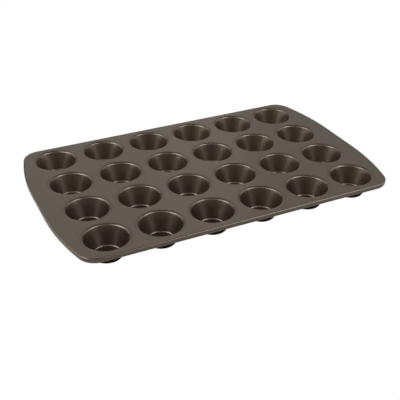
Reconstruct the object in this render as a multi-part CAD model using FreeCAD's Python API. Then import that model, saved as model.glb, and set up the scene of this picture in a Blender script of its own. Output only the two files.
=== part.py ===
import FreeCAD, Part
import math
import os

# Miniature muffin tin. A pressed steel deck carries separately drawn cups. Each cup drops
# into its own hole, hangs by a lip that lies flush in a recess, and is gripped by the collar
# of the hole. The edge of the deck turns down into a shallow skirt, and the hem of the
# skirt is rolled inwards round a stiffening wire.
# Millimetres: X along the length, Y across, Z up. The undersides of the cups are at Z = 0
# and the origin is under the middle of the deck.

# Layout of the cups
COLUMNS = 6
ROWS = 4
PITCH = 60.0  # between neighbouring cups, along and across

# Outline of the deck: straight long sides, gently bowed ends, rounded corners
HALF_LENGTH = 196.5
HALF_WIDTH = 123.0
END_STRAIGHT = 27.0  # half of the straight stretch in the middle of an end
BOW_RADIUS = 290.0  # from there to the corner
CORNER_RADIUS = 21.0

# Deck, skirt and rolled hem
DECK_TOP = 22.5
DECK_SHEET = 0.6
FOLD_RADIUS = 1.5  # outside radius where the deck turns down into the skirt
HEM_DROP = 3.85  # from the top of the deck to the middle of the wire
WIRE_RADIUS = 1.5
WIRE_PLAY = 0.05
WIRE_GAP = 1.0  # between the butted ends of the wire, behind the back skirt
HEM_RADIUS = WIRE_RADIUS + WIRE_PLAY + DECK_SHEET
HEM_WRAP = 300.0  # degrees of curl, counted from the skirt under and round the wire

# Cups
CUP_SHEET = 0.5
WALL_LEAN = 21.0  # degrees from upright
LIP_RADIUS = 26.6
LIP_EDGE = 0.2  # rounding of the lip's outer edge
MOUTH_RADIUS = 26.0  # where the flat of the lip starts to turn down into the cup
MOUTH_ROUNDING = 3.0
FLOOR_ROUNDING = 2.5

# Seat of a cup in the deck
SEAT_CLEARANCE = 0.12  # round the edge of the lip
SEAT_STEP = 0.48  # the underside steps down this much further out than the top side
SEAT_RADIUS = 27.6  # outer limit of the part of the deck that is formed as a seat
COLLAR_CLEARANCE = 0.1  # between collar and cup, growing from nothing under the lip
COLLAR_LENGTH = 2.5  # straight part of the collar

UP = FreeCAD.Vector(0, 0, 1)
AXIS_BASE = FreeCAD.Vector(0, 0, 0)
CORNER_Y = HALF_WIDTH - CORNER_RADIUS
BOW_ANGLE = math.degrees(math.asin((CORNER_Y - END_STRAIGHT) / (BOW_RADIUS - CORNER_RADIUS)))
CORNER_X = HALF_LENGTH - BOW_RADIUS + (BOW_RADIUS - CORNER_RADIUS) * math.cos(math.radians(BOW_ANGLE))


class Section:
    """A closed outline in the XZ plane, drawn stroke by stroke."""

    def __init__(self, x, z):
        self.first = FreeCAD.Vector(x, 0, z)
        self.last = self.first
        self.edges = []

    def line(self, x, z):
        """Draws a straight stroke to a point."""
        target = FreeCAD.Vector(x, 0, z)
        if target.distanceToPoint(self.last) > 1e-6:
            self.edges.append(Part.makeLine(self.last, target))
        self.last = target
        return self

    def arc(self, centre, radius, start, end):
        """Draws a line to the start of an arc, then the arc. Degrees run from +X towards +Z."""
        begin, middle, finish = (
            FreeCAD.Vector(
                centre[0] + radius * math.cos(math.radians(angle)),
                0,
                centre[1] + radius * math.sin(math.radians(angle)),
            )
            for angle in (start, (start + end) / 2, end)
        )
        self.line(begin.x, begin.z)
        self.edges.append(Part.Arc(begin, middle, finish).toShape())
        self.last = finish
        return self

    def face(self):
        """Closes the outline and fills it."""
        self.line(self.first.x, self.first.z)
        return Part.Face(Part.Wire(self.edges))


def moved(shape, x, y, z=0.0):
    """A copy of a shape, shifted."""
    copy = shape.copy()
    copy.translate(FreeCAD.Vector(x, y, z))
    return copy


def lathe(section):
    """Turns a section once round the Z axis."""
    return section.revolve(AXIS_BASE, UP, 360)


def mirrored_quarters(quarter):
    """Joins a quarter in +X +Y with its mirror images into one piece."""
    half = quarter.fuse(quarter.mirror(AXIS_BASE, FreeCAD.Vector(1, 0, 0)))
    whole = half.fuse(half.mirror(AXIS_BASE, FreeCAD.Vector(0, 1, 0)))
    return whole.removeSplitter()


def floor_corner(mouth):
    """Centre of the rounding between floor and wall, for a wall that starts at the mouth's."""
    lean = math.radians(WALL_LEAN)
    top_x = mouth[0] - MOUTH_ROUNDING * math.cos(lean)
    top_z = mouth[1] + MOUTH_ROUNDING * math.sin(lean)
    foot_x = top_x - (top_z - CUP_SHEET) * math.tan(lean)
    setback = FLOOR_ROUNDING * math.tan(math.radians((90.0 - WALL_LEAN) / 2))
    return foot_x - setback, CUP_SHEET + FLOOR_ROUNDING


def make_cup():
    """One drawn cup on the Z axis: floor, leaning wall, rounded mouth and flat lip."""
    mouth = (MOUTH_RADIUS, DECK_TOP - MOUTH_ROUNDING)
    corner = floor_corner(mouth)
    edge = (LIP_RADIUS - LIP_EDGE, DECK_TOP - LIP_EDGE)
    wall_side = 180.0 - WALL_LEAN
    section = Section(0.0, CUP_SHEET)
    section.arc(corner, FLOOR_ROUNDING, -90.0, -WALL_LEAN)
    section.arc(mouth, MOUTH_ROUNDING, wall_side, 90.0)
    section.arc(edge, LIP_EDGE, 90.0, 0.0)
    section.line(LIP_RADIUS, DECK_TOP - CUP_SHEET)
    section.arc(mouth, MOUTH_ROUNDING - CUP_SHEET, 90.0, wall_side)
    section.arc(corner, FLOOR_ROUNDING + CUP_SHEET, -WALL_LEAN, -90.0)
    section.line(0.0, 0.0)
    return lathe(section.face())


def make_seat():
    """The recess and collar that hold one cup, on the Z axis."""
    recess_top = DECK_TOP - CUP_SHEET
    recess_radius = LIP_RADIUS + SEAT_CLEARANCE
    bend = (MOUTH_RADIUS + COLLAR_CLEARANCE, DECK_TOP - MOUTH_ROUNDING)
    bend_radius = MOUTH_ROUNDING - CUP_SHEET
    wall_side = 180.0 - WALL_LEAN
    lean = math.radians(WALL_LEAN)
    # lower ends of the collar's inner and outer faces
    inner, outer = (
        (
            bend[0] - radius * math.cos(lean) - COLLAR_LENGTH * math.sin(lean),
            bend[1] + radius * math.sin(lean) - COLLAR_LENGTH * math.cos(lean),
        )
        for radius in (bend_radius, bend_radius - DECK_SHEET)
    )
    section = Section(SEAT_RADIUS, DECK_TOP)
    section.line(recess_radius, DECK_TOP)
    section.line(recess_radius, recess_top)
    section.arc(bend, bend_radius, 90.0, wall_side)
    section.line(*inner)
    section.line(*outer)
    section.arc(bend, bend_radius - DECK_SHEET, wall_side, 90.0)
    section.line(recess_radius + SEAT_STEP, recess_top - DECK_SHEET)
    section.line(recess_radius + SEAT_STEP, DECK_TOP - DECK_SHEET)
    section.line(SEAT_RADIUS, DECK_TOP - DECK_SHEET)
    return lathe(section.face())


def edge_quarter(section):
    """Carries a section round the outline from the middle of an end to the middle of a side.

    The section's X = 0 is the outer face of the skirt and its material lies towards -X.
    """
    end = moved(section, HALF_LENGTH, 0.0).extrude(FreeCAD.Vector(0, END_STRAIGHT, 0))
    bow_centre = FreeCAD.Vector(HALF_LENGTH - BOW_RADIUS, END_STRAIGHT, 0)
    bow = moved(section, HALF_LENGTH, END_STRAIGHT).revolve(bow_centre, UP, BOW_ANGLE)
    corner_centre = FreeCAD.Vector(CORNER_X, CORNER_Y, 0)
    start = moved(section, CORNER_X + CORNER_RADIUS, CORNER_Y)
    start.rotate(corner_centre, UP, BOW_ANGLE)
    corner = start.revolve(corner_centre, UP, 90.0 - BOW_ANGLE)
    start = moved(section, CORNER_X + CORNER_RADIUS, CORNER_Y)
    start.rotate(corner_centre, UP, 90.0)
    side = start.extrude(FreeCAD.Vector(-CORNER_X, 0, 0))
    return end.fuse([bow, corner, side])


def skirt_section():
    """Fold, skirt and rolled hem, from the edge of the flat deck to the end of the curl."""
    fold = (-FOLD_RADIUS, DECK_TOP - FOLD_RADIUS)
    hem = (-HEM_RADIUS, DECK_TOP - HEM_DROP)
    section = Section(-FOLD_RADIUS, DECK_TOP)
    section.arc(fold, FOLD_RADIUS, 90.0, 0.0)
    section.arc(hem, HEM_RADIUS, 0.0, -HEM_WRAP)
    section.arc(hem, HEM_RADIUS - DECK_SHEET, -HEM_WRAP, 0.0)
    section.arc(fold, FOLD_RADIUS - DECK_SHEET, 0.0, 90.0)
    return section.face()


def on_arc(centre, radius, degrees):
    """A point on a horizontal arc, at the underside of the deck."""
    angle = math.radians(degrees)
    x = centre[0] + radius * math.cos(angle)
    y = centre[1] + radius * math.sin(angle)
    return FreeCAD.Vector(x, y, DECK_TOP - DECK_SHEET)


def plate_quarter():
    """A quarter of the flat of the deck, inside the fold, with open seats."""
    bow = ((HALF_LENGTH - BOW_RADIUS, END_STRAIGHT), BOW_RADIUS - FOLD_RADIUS)
    corner = ((CORNER_X, CORNER_Y), CORNER_RADIUS - FOLD_RADIUS)
    middle = FreeCAD.Vector(0, 0, DECK_TOP - DECK_SHEET)
    end = FreeCAD.Vector(HALF_LENGTH - FOLD_RADIUS, 0, DECK_TOP - DECK_SHEET)
    side = FreeCAD.Vector(0, HALF_WIDTH - FOLD_RADIUS, DECK_TOP - DECK_SHEET)
    bow_start = on_arc(*bow, 0.0)
    bow_end = on_arc(*bow, BOW_ANGLE)
    corner_end = on_arc(*corner, 90.0)
    outline = [
        Part.makeLine(middle, end),
        Part.makeLine(end, bow_start),
        Part.Arc(bow_start, on_arc(*bow, BOW_ANGLE / 2), bow_end).toShape(),
        Part.Arc(bow_end, on_arc(*corner, (BOW_ANGLE + 90.0) / 2), corner_end).toShape(),
        Part.makeLine(corner_end, side),
        Part.makeLine(side, middle),
    ]
    plate = Part.Face(Part.Wire(outline)).extrude(UP * DECK_SHEET)
    for x, y in quarter_centres():
        plate = plate.cut(Part.makeCylinder(SEAT_RADIUS, DECK_TOP, FreeCAD.Vector(x, y, 1.0)))
    return plate


def cup_centre(row, column):
    """Centre of a cup, rows counted from the front and columns from the left."""
    x = (column - (COLUMNS - 1) / 2) * PITCH
    y = (row - (ROWS - 1) / 2) * PITCH
    return x, y


def quarter_centres():
    """Centres of the cups in the +X +Y quarter."""
    centres = [cup_centre(row, column) for row in range(ROWS) for column in range(COLUMNS)]
    return [(x, y) for x, y in centres if x > 0 and y > 0]


def make_deck():
    """The pressed sheet: flat with seats, fold, skirt and rolled hem, as one piece."""
    seat = make_seat()
    pieces = [moved(seat, x, y) for x, y in quarter_centres()]
    pieces.append(edge_quarter(skirt_section()))
    return mirrored_quarters(plate_quarter().fuse(pieces))


def make_wire():
    """The stiffening wire: one length bent to the outline, its ends butted at the back."""
    circle = Part.makeCircle(
        WIRE_RADIUS,
        FreeCAD.Vector(-HEM_RADIUS, 0, DECK_TOP - HEM_DROP),
        FreeCAD.Vector(0, 1, 0),
    )
    loop = mirrored_quarters(edge_quarter(Part.Face(Part.Wire(circle))))
    notch = Part.makeBox(
        WIRE_GAP,
        4 * HEM_RADIUS,
        DECK_TOP,
        FreeCAD.Vector(-WIRE_GAP / 2, HALF_WIDTH - 3 * HEM_RADIUS, 0),
    )
    return loop.cut(notch)


def write(node, shape):
    """Checks that a piece is one sound solid and writes it as STEP."""
    solids = shape.Solids
    if len(solids) != 1 or not solids[0].isValid():
        raise RuntimeError(f"{node} is not one sound solid")
    solids[0].exportStep(f"parts/{node}.step")


os.makedirs("parts", exist_ok=True)
write("deck", make_deck())
write("rim_wire", make_wire())
cup = make_cup()
for row in range(ROWS):
    for column in range(COLUMNS):
        x, y = cup_centre(row, column)
        write(f"cup_r{row + 1}_c{column + 1}", moved(cup, x, y))
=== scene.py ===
import math

import bpy
from mathutils import Matrix, Vector
from mathutils.geometry import delaunay_2d_cdt


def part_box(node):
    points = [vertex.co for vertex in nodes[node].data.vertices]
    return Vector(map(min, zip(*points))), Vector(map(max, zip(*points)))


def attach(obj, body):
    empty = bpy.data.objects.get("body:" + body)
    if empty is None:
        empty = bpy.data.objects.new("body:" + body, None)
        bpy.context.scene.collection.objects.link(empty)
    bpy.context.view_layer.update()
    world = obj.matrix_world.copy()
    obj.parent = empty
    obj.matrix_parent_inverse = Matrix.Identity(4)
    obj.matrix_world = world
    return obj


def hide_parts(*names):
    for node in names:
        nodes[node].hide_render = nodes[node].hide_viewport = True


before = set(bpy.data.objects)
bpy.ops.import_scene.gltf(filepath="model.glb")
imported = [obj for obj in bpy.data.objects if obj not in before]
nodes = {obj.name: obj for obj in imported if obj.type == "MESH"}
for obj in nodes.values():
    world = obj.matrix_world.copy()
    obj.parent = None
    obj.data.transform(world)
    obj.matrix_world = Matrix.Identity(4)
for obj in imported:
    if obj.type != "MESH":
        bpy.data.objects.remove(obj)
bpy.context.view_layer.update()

# Sizes of the real object, in metres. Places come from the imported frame.
DECK_SHEET = 0.0006
FOLD_RADIUS = 0.0015  # outside radius where the deck turns down into the skirt
HEM_DROP = 0.00385  # from the top of the deck to the middle of the wire
HEM_RADIUS = 0.00215
HEM_WRAP = 300.0  # degrees
END_STRAIGHT = 0.027  # half of the straight stretch in the middle of an end
BOW_RADIUS = 0.290
CORNER_RADIUS = 0.021

CUP_SHEET = 0.0005
WALL_LEAN = 21.0  # degrees from upright
LIP_RADIUS = 0.0266
LIP_EDGE = 0.0002
MOUTH_RADIUS = 0.0260
MOUTH_ROUNDING = 0.003
FLOOR_ROUNDING = 0.0025

SEAT_CLEARANCE = 0.00012
SEAT_STEP = 0.00048
SEAT_RADIUS = 0.0276
COLLAR_CLEARANCE = 0.0001
COLLAR_LENGTH = 0.0025

TURN_STEPS = 96  # facets round a cup
MERGE = 7  # decimals of a metre within which two corners are the same

deck_low, deck_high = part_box("deck")
DECK_TOP = deck_high.z
HALF_LENGTH = (deck_high.x - deck_low.x) / 2
HALF_WIDTH = (deck_high.y - deck_low.y) / 2
CUP_NODES = sorted(name for name in nodes if name.startswith("cup_"))


# ---------------------------------------------------------------- mesh building
class Strokes:
    """A cross-section in (x, z): strips with the surface normal at both ends.

    The material lies to the right of the direction of travel.
    """

    def __init__(self, x, z):
        self.at = (x, z)
        self.strips = []

    def line(self, x, z):
        dx, dz = x - self.at[0], z - self.at[1]
        length = math.hypot(dx, dz)
        if length > 1e-7:
            normal = (-dz / length, dx / length)
            self.strips.append((self.at, normal, (x, z), normal))
        self.at = (x, z)
        return self

    def arc(self, centre, radius, start, end, steps):
        def spot(angle):
            c, s = math.cos(math.radians(angle)), math.sin(math.radians(angle))
            side = -1.0 if end > start else 1.0
            return (centre[0] + radius * c, centre[1] + radius * s), (side * c, side * s)

        first, normal = spot(start)
        self.line(*first)
        for step in range(1, steps + 1):
            here, turned = spot(start + (end - start) * step / steps)
            self.strips.append((self.at, normal, here, turned))
            self.at, normal = here, turned
        return self


class Skin:
    """Faces with the exact surface normal at each corner."""

    def __init__(self):
        self.points = []
        self.known = {}
        self.faces = []
        self.normals = []

    def corner(self, point):
        key = tuple(round(value, MERGE) for value in point)
        if key not in self.known:
            self.known[key] = len(self.points)
            self.points.append(tuple(point))
        return self.known[key]

    def face(self, points, normals):
        loop, kept = [], []
        for point, normal in zip(points, normals):
            index = self.corner(point)
            if index not in loop:
                loop.append(index)
                kept.append(normal)
        if len(loop) > 2:
            self.faces.append(loop)
            self.normals.extend(kept)

    def carry(self, strips, places):
        """Carries strips along a closed run of places: functions from (x, z) to a point and a direction."""
        for k in range(len(places)):
            here, there = places[k], places[(k + 1) % len(places)]
            for p0, n0, p1, n1 in strips:
                self.face(
                    (here(p0, 1), here(p1, 1), there(p1, 1), there(p0, 1)),
                    (here(n0, 0), here(n1, 0), there(n1, 0), there(n0, 0)),
                )

    def build(self, name, *materials):
        mesh = bpy.data.meshes.new(name)
        mesh.from_pydata(self.points, [], self.faces)
        mesh.polygons.foreach_set("use_smooth", [True] * len(mesh.polygons))
        mesh.normals_split_custom_set(self.normals)
        piece = bpy.data.objects.new(name, mesh)
        bpy.context.scene.collection.objects.link(piece)
        for material in materials:
            mesh.materials.append(material)
        return piece


def turn_places(centre_x, centre_y, steps):
    """Places round a vertical axis."""

    def place(angle):
        c, s = math.cos(angle), math.sin(angle)

        def at(p, is_point):
            return (centre_x * is_point + p[0] * c, centre_y * is_point + p[0] * s, p[1])

        return at

    return [place(2 * math.pi * k / steps) for k in range(steps)]


def outline_quarter():
    """((x, y), outward direction) from the middle of the right end to the middle of the back."""
    corner_y = HALF_WIDTH - CORNER_RADIUS
    bow_angle = math.asin((corner_y - END_STRAIGHT) / (BOW_RADIUS - CORNER_RADIUS))
    bow_x = HALF_LENGTH - BOW_RADIUS
    corner_x = bow_x + (BOW_RADIUS - CORNER_RADIUS) * math.cos(bow_angle)
    run = [((HALF_LENGTH, 0.0), 0.0)]
    for k in range(13):
        a = bow_angle * k / 12
        run.append(((bow_x + BOW_RADIUS * math.cos(a), END_STRAIGHT + BOW_RADIUS * math.sin(a)), a))
    for k in range(1, 25):
        a = bow_angle + (math.pi / 2 - bow_angle) * k / 24
        run.append(((corner_x + CORNER_RADIUS * math.cos(a), corner_y + CORNER_RADIUS * math.sin(a)), a))
    run.append(((0.0, HALF_WIDTH), math.pi / 2))
    return [(spot, (math.cos(a), math.sin(a))) for spot, a in run]


def outline():
    """The whole outline, anticlockwise, without repeating a point."""
    quarter = outline_quarter()
    right = quarter[:-1]
    back = [((-x, y), (-nx, ny)) for (x, y), (nx, ny) in reversed(quarter)][:-1]
    left = [((-x, -y), (-nx, -ny)) for (x, y), (nx, ny) in quarter][:-1]
    front = [((x, -y), (nx, -ny)) for (x, y), (nx, ny) in reversed(quarter)][:-1]
    return right + back + left + front


def edge_places():
    """Places along the outline: x = 0 of a section is the outer face of the skirt."""

    def place(spot, out):
        def at(p, is_point):
            return (spot[0] * is_point + p[0] * out[0], spot[1] * is_point + p[0] * out[1], p[1])

        return at

    return [place(spot, out) for spot, out in outline()]


# ---------------------------------------------------------------- materials
def new_material(name):
    material = bpy.data.materials.new(name)
    material.use_nodes = True
    tree = material.node_tree
    return material, tree, tree.nodes["Principled BSDF"]


def node(tree, kind, **settings):
    made = tree.nodes.new(kind)
    for key, value in settings.items():
        if key in made.inputs:
            made.inputs[key].default_value = value
        else:
            setattr(made, key, value)
    return made


def coated_steel():
    """Dark bronze-grey satin release coating on steel: fine pearl grain and cloudy spray."""
    material, tree, shader = new_material("coated_steel")
    link = tree.links.new
    place = node(tree, "ShaderNodeNewGeometry")
    cloud = node(tree, "ShaderNodeTexNoise", Scale=22.0, Detail=3.0, Roughness=0.55)
    grain = node(tree, "ShaderNodeTexNoise", Scale=1700.0, Detail=2.0, Roughness=0.6)
    link(place.outputs["Position"], cloud.inputs["Vector"])
    link(place.outputs["Position"], grain.inputs["Vector"])
    tint = node(tree, "ShaderNodeValToRGB")
    tint.color_ramp.elements[0].position = 0.30
    tint.color_ramp.elements[0].color = (0.0665, 0.0524, 0.0395, 1)
    tint.color_ramp.elements[1].position = 0.70
    tint.color_ramp.elements[1].color = (0.0786, 0.0624, 0.0472, 1)
    both = node(tree, "ShaderNodeMath", operation="MULTIPLY_ADD")
    both.inputs[1].default_value = 0.5
    link(grain.outputs["Fac"], both.inputs[0])
    half = node(tree, "ShaderNodeMath", operation="MULTIPLY")
    half.inputs[1].default_value = 0.5
    link(cloud.outputs["Fac"], half.inputs[0])
    link(half.outputs[0], both.inputs[2])
    link(both.outputs[0], tint.inputs["Fac"])
    link(tint.outputs["Color"], shader.inputs["Base Color"])
    rough = node(tree, "ShaderNodeMapRange")
    rough.inputs["To Min"].default_value = 0.40
    rough.inputs["To Max"].default_value = 0.50
    link(both.outputs[0], rough.inputs["Value"])
    link(rough.outputs[0], shader.inputs["Roughness"])
    bump = node(tree, "ShaderNodeBump", Strength=0.25, Distance=0.00006)
    link(grain.outputs["Fac"], bump.inputs["Height"])
    link(bump.outputs["Normal"], shader.inputs["Normal"])
    shader.inputs["Metallic"].default_value = 1.0
    shader.inputs["Coat Weight"].default_value = 1.0
    shader.inputs["Coat Roughness"].default_value = 0.15
    return material


def wire_steel():
    """Drawn bright steel wire."""
    material, tree, shader = new_material("bright_wire")
    link = tree.links.new
    place = node(tree, "ShaderNodeNewGeometry")
    draw = node(tree, "ShaderNodeTexNoise", Scale=900.0, Detail=3.0)
    link(place.outputs["Position"], draw.inputs["Vector"])
    tint = node(tree, "ShaderNodeValToRGB")
    tint.color_ramp.elements[0].color = (0.42, 0.41, 0.39, 1)
    tint.color_ramp.elements[1].color = (0.62, 0.61, 0.58, 1)
    link(draw.outputs["Fac"], tint.inputs["Fac"])
    link(tint.outputs["Color"], shader.inputs["Base Color"])
    rough = node(tree, "ShaderNodeMapRange")
    rough.inputs["To Min"].default_value = 0.25
    rough.inputs["To Max"].default_value = 0.45
    link(draw.outputs["Fac"], rough.inputs["Value"])
    link(rough.outputs[0], shader.inputs["Roughness"])
    shader.inputs["Metallic"].default_value = 1.0
    return material


# ---------------------------------------------------------------- pieces
def cup_strokes():
    """The section of a cup, from the middle of its floor over the lip and back underneath."""
    mouth = (MOUTH_RADIUS, DECK_TOP - MOUTH_ROUNDING)
    lean = math.radians(WALL_LEAN)
    top_x = mouth[0] - MOUTH_ROUNDING * math.cos(lean)
    top_z = mouth[1] + MOUTH_ROUNDING * math.sin(lean)
    foot_x = top_x - (top_z - CUP_SHEET) * math.tan(lean)
    setback = FLOOR_ROUNDING * math.tan(math.radians((90.0 - WALL_LEAN) / 2))
    corner = (foot_x - setback, CUP_SHEET + FLOOR_ROUNDING)
    edge = (LIP_RADIUS - LIP_EDGE, DECK_TOP - LIP_EDGE)
    wall_side = 180.0 - WALL_LEAN
    strokes = Strokes(0.0, CUP_SHEET)
    strokes.arc(corner, FLOOR_ROUNDING, -90.0, -WALL_LEAN, 8)
    strokes.arc(mouth, MOUTH_ROUNDING, wall_side, 90.0, 10)
    strokes.arc(edge, LIP_EDGE, 90.0, 0.0, 3)
    strokes.line(LIP_RADIUS, DECK_TOP - CUP_SHEET)
    strokes.arc(mouth, MOUTH_ROUNDING - CUP_SHEET, 90.0, wall_side, 8)
    strokes.arc(corner, FLOOR_ROUNDING + CUP_SHEET, -WALL_LEAN, -90.0, 8)
    strokes.line(0.0, 0.0)
    return strokes.strips


def seat_strokes():
    """The section of a seat: recess, bend and collar, over and back underneath."""
    recess_top = DECK_TOP - CUP_SHEET
    recess = LIP_RADIUS + SEAT_CLEARANCE
    bend = (MOUTH_RADIUS + COLLAR_CLEARANCE, DECK_TOP - MOUTH_ROUNDING)
    radius = MOUTH_ROUNDING - CUP_SHEET
    wall_side = 180.0 - WALL_LEAN
    lean = math.radians(WALL_LEAN)

    def collar_end(r):
        x = bend[0] - r * math.cos(lean) - COLLAR_LENGTH * math.sin(lean)
        z = bend[1] + r * math.sin(lean) - COLLAR_LENGTH * math.cos(lean)
        return x, z

    strokes = Strokes(*collar_end(radius))
    strokes.arc(bend, radius, wall_side, 90.0, 6)
    strokes.line(recess, recess_top)
    strokes.line(recess, DECK_TOP)
    strokes.line(SEAT_RADIUS, DECK_TOP)
    top = strokes.strips
    strokes = Strokes(SEAT_RADIUS, DECK_TOP - DECK_SHEET)
    strokes.line(recess + SEAT_STEP, DECK_TOP - DECK_SHEET)
    strokes.line(recess + SEAT_STEP, recess_top - DECK_SHEET)
    strokes.arc(bend, radius - DECK_SHEET, 90.0, wall_side, 6)
    strokes.line(*collar_end(radius - DECK_SHEET))
    strokes.line(*collar_end(radius))
    return top + strokes.strips


def skirt_strokes():
    """The section of fold, skirt and rolled hem, round and back up inside."""
    fold = (-FOLD_RADIUS, DECK_TOP - FOLD_RADIUS)
    hem = (-HEM_RADIUS, DECK_TOP - HEM_DROP)
    strokes = Strokes(-FOLD_RADIUS, DECK_TOP)
    strokes.arc(fold, FOLD_RADIUS, 90.0, 0.0, 8)
    strokes.arc(hem, HEM_RADIUS, 0.0, -HEM_WRAP, 28)
    strokes.arc(hem, HEM_RADIUS - DECK_SHEET, -HEM_WRAP, 0.0, 24)
    strokes.arc(fold, FOLD_RADIUS - DECK_SHEET, 0.0, 90.0, 4)
    return strokes.strips


def cup_centre(name):
    low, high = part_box(name)
    return (low.x + high.x) / 2, (low.y + high.y) / 2


def plate_faces(skin, centres):
    """The flat of the deck, both sides, between the fold and the seats."""
    rim = [Vector((p[0] - FOLD_RADIUS * n[0], p[1] - FOLD_RADIUS * n[1])) for p, n in outline()]
    points = list(rim)
    edges = [(k, (k + 1) % len(rim)) for k in range(len(rim))]
    for x, y in centres:
        first = len(points)
        for at in turn_places(x, y, TURN_STEPS):
            p = at((SEAT_RADIUS, 0.0), 1)
            points.append(Vector(p[:2]))
        edges += [(first + k, first + (k + 1) % TURN_STEPS) for k in range(TURN_STEPS)]
    spots, _, triangles, *_ = delaunay_2d_cdt(points, edges, [], 0, 1e-9)
    bottom = DECK_TOP - DECK_SHEET
    for triangle in triangles:
        corners = [spots[k] for k in triangle]
        middle = sum(corners, Vector((0, 0))) / 3
        if any((middle - Vector(c)).length < SEAT_RADIUS * math.cos(math.pi / TURN_STEPS) - 1e-6 for c in centres):
            continue
        a, b, c = corners
        if (b - a).cross(c - a) < 0:
            corners.reverse()
        skin.face([(p.x, p.y, DECK_TOP) for p in corners], [(0, 0, 1)] * 3)
        skin.face([(p.x, p.y, bottom) for p in reversed(corners)], [(0, 0, -1)] * 3)


def make_deck(material):
    centres = [cup_centre(name) for name in CUP_NODES]
    skin = Skin()
    plate_faces(skin, centres)
    seat = seat_strokes()
    for x, y in centres:
        skin.carry(seat, turn_places(x, y, TURN_STEPS))
    skin.carry(skirt_strokes(), edge_places())
    piece = skin.build("deck_sheet", material)
    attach(piece, "root")
    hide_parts("deck")
    return piece


def make_cups(material):
    strips = cup_strokes()
    for name in CUP_NODES:
        skin = Skin()
        skin.carry(strips, turn_places(*cup_centre(name), TURN_STEPS))
        piece = skin.build(name + "_drawn", material)
        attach(piece, "root")
        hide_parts(name)


coating = coated_steel()
wire = wire_steel()
make_deck(coating)
make_cups(coating)
for spot in nodes["rim_wire"].material_slots:
    spot.material = wire

# ---------------------------------------------------------------- studio
floor_mesh = bpy.data.meshes.new("floor")
FLOOR_HALF = 6.0
floor_mesh.from_pydata(
    [(-FLOOR_HALF, -FLOOR_HALF, 0), (FLOOR_HALF, -FLOOR_HALF, 0), (FLOOR_HALF, FLOOR_HALF, 0), (-FLOOR_HALF, FLOOR_HALF, 0)],
    [],
    [(0, 1, 2, 3)],
)
floor = bpy.data.objects.new("floor", floor_mesh)
floor.location.z = -0.0002
bpy.context.scene.collection.objects.link(floor)
# Seen directly the paper is clean white. Seen from below it is not there, so the
# underside of the object can be looked at.
paper, tree, shader = new_material("pale_paper")
# Painted shadow: the paper's colour is dark below the object and pale round it.
spot = node(tree, "ShaderNodeNewGeometry")
reach = node(tree, "ShaderNodeVectorMath", operation="DIVIDE")
reach.inputs[1].default_value = (HALF_LENGTH, HALF_WIDTH, 1.0)
tree.links.new(spot.outputs["Position"], reach.inputs[0])
sides = node(tree, "ShaderNodeVectorMath", operation="ABSOLUTE")
tree.links.new(reach.outputs[0], sides.inputs[0])
parts = node(tree, "ShaderNodeSeparateXYZ")
tree.links.new(sides.outputs[0], parts.inputs[0])
farthest = node(tree, "ShaderNodeMath", operation="MAXIMUM")
tree.links.new(parts.outputs["X"], farthest.inputs[0])
tree.links.new(parts.outputs["Y"], farthest.inputs[1])
# Painted shadow colours: dark paper under the object, pale paper beyond it.
shadow = node(tree, "ShaderNodeValToRGB")
shadow.color_ramp.elements[0].position = 0.90
shadow.color_ramp.elements[0].color = (0.12, 0.12, 0.12, 1)
shadow.color_ramp.elements[1].position = 1.0
shadow.color_ramp.elements[1].color = (0.60, 0.60, 0.60, 1)
tree.links.new(farthest.outputs[0], shadow.inputs["Fac"])
tree.links.new(shadow.outputs["Color"], shader.inputs["Base Color"])
shader.inputs["Roughness"].default_value = 0.9
shader.inputs["Specular IOR Level"].default_value = 0.1
shader.inputs["Emission Color"].default_value = (1, 1, 1, 1)
shader.inputs["Emission Strength"].default_value = 0.0
ray = node(tree, "ShaderNodeLightPath")
side = node(tree, "ShaderNodeNewGeometry")
white = node(tree, "ShaderNodeEmission")
clear = node(tree, "ShaderNodeBsdfTransparent")
direct = node(tree, "ShaderNodeMixShader")
below = node(tree, "ShaderNodeMixShader")
out = next(n for n in tree.nodes if n.type == "OUTPUT_MATERIAL")
tree.links.new(ray.outputs["Is Camera Ray"], direct.inputs[0])
tree.links.new(shader.outputs[0], direct.inputs[1])
tree.links.new(white.outputs[0], direct.inputs[2])
tree.links.new(side.outputs["Backfacing"], below.inputs[0])
tree.links.new(direct.outputs[0], below.inputs[1])
tree.links.new(clear.outputs[0], below.inputs[2])
tree.links.new(below.outputs[0], out.inputs["Surface"])
floor_mesh.materials.append(paper)

WARM = (1.0, 0.918, 0.806)  # colour of the room and the fill lamps
NEUTRAL = (1.0, 0.98, 0.93)  # colour of the key lamps
world = bpy.data.worlds.new("studio")
bpy.context.scene.world = world
world.use_nodes = True
sky = world.node_tree
backdrop = sky.nodes["Background"]
where = node(sky, "ShaderNodeTexCoord")
split = node(sky, "ShaderNodeSeparateXYZ")
shade = node(sky, "ShaderNodeValToRGB")
sky.links.new(where.outputs["Generated"], split.inputs[0])
sky.links.new(split.outputs["Z"], shade.inputs["Fac"])
sky.links.new(shade.outputs["Color"], backdrop.inputs["Color"])
# Brightness of the room by elevation in degrees.
ROOM = ((5, 0.504), (16, 0.036), (28, 0.403), (40, 0.766), (53, 0.16), (75, 0.20))
for stop, (elevation, level) in enumerate(ROOM):
    height = math.sin(math.radians(elevation))
    if stop > 1:
        shade.color_ramp.elements.new(height)
    shade.color_ramp.elements[stop].position = height
    shade.color_ramp.elements[stop].color = [level * part for part in WARM] + [1]

CAMERA_AZIMUTH = 25.95  # degrees: looks this far to the right of straight back
CAMERA_ELEVATION = 31.43
CAMERA_ROLL = 0.41
LOOKS_AT = Vector((-0.0333, -0.0660, DECK_TOP))
CAMERA_DISTANCE = 0.7880


def direction(azimuth, elevation):
    """Unit vector towards a place, azimuth clockwise from +Y seen from above."""
    a, e = math.radians(azimuth), math.radians(elevation)
    return Vector((math.sin(a) * math.cos(e), math.cos(a) * math.cos(e), math.sin(e)))


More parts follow.
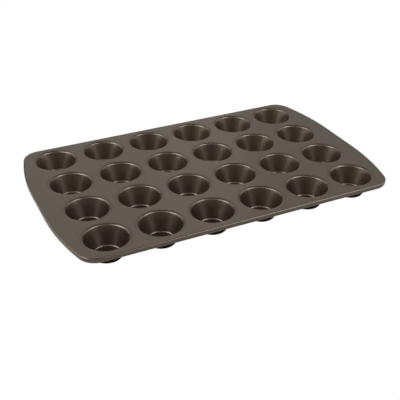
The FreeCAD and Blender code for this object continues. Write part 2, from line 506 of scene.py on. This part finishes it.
def softbox(name, azimuth, elevation, distance, width, height, radiance, tint=WARM):
    """A rectangular lamp that faces the object; azimuth counts from the camera's side."""
    lamp = bpy.data.lights.new(name, "AREA")
    lamp.shape = "RECTANGLE"
    lamp.size = width
    lamp.size_y = height
    lamp.energy = radiance * math.pi * width * height
    lamp.color = tint
    thing = bpy.data.objects.new(name, lamp)
    toward = direction(CAMERA_AZIMUTH + 180 + azimuth, elevation)
    thing.location = toward * distance
    thing.rotation_mode = "QUATERNION"
    thing.rotation_quaternion = toward.to_track_quat("Z", "Y")
    bpy.context.scene.collection.objects.link(thing)


softbox("right_key_wide", 63.7, 47.0, 2.0, 2.05, 0.80, 2.064, NEUTRAL)
softbox("right_key_low", 70.0, 41.0, 2.0, 1.34, 1.04, 1.975, NEUTRAL)
softbox("right_key_core", 66.0, 40.0, 2.0, 0.90, 0.90, 2.316, NEUTRAL)
softbox("left_key_wide", -67.4, 46.4, 2.0, 1.58, 0.68, 2.225, NEUTRAL)
softbox("left_key_low", -68.0, 41.0, 2.0, 1.15, 1.22, 1.512, NEUTRAL)
softbox("left_key_core", -67.0, 46.0, 2.0, 0.90, 0.90, 2.119, NEUTRAL)
softbox("right_wall", 89.0, 28.0, 3.0, 4.4, 2.7, 0.831)
softbox("left_wall", -94.0, 27.0, 3.0, 4.2, 2.6, 0.643)
softbox("left_wall_back", -106.0, 23.0, 3.0, 1.6, 4.0, 0.210)
softbox("backdrop", 180.0, 22.0, 3.0, 2.3, 3.0, 0.103)
softbox("backdrop_left", 168.0, 30.0, 3.0, 1.6, 2.2, 0.212)
softbox("backdrop_right", 192.0, 30.0, 3.0, 1.6, 2.2, 0.106)
softbox("front_strip", -4.0, 50.0, 2.0, 3.36, 0.50, 0.9)

camera = bpy.data.objects.new("camera", bpy.data.cameras.new("camera"))
camera.data.lens = 64.75
camera.data.sensor_width = 36.0
forward = -direction(CAMERA_AZIMUTH + 180, CAMERA_ELEVATION)
camera.location = LOOKS_AT - forward * CAMERA_DISTANCE
turn = forward.to_track_quat("-Z", "Y")
camera.rotation_mode = "QUATERNION"
camera.rotation_quaternion = turn @ Matrix.Rotation(math.radians(CAMERA_ROLL), 3, "Z").to_quaternion()
bpy.context.scene.collection.objects.link(camera)
bpy.context.scene.camera = camera
bpy.context.scene.view_settings.view_transform = "Standard"

bpy.context.view_layer.update()
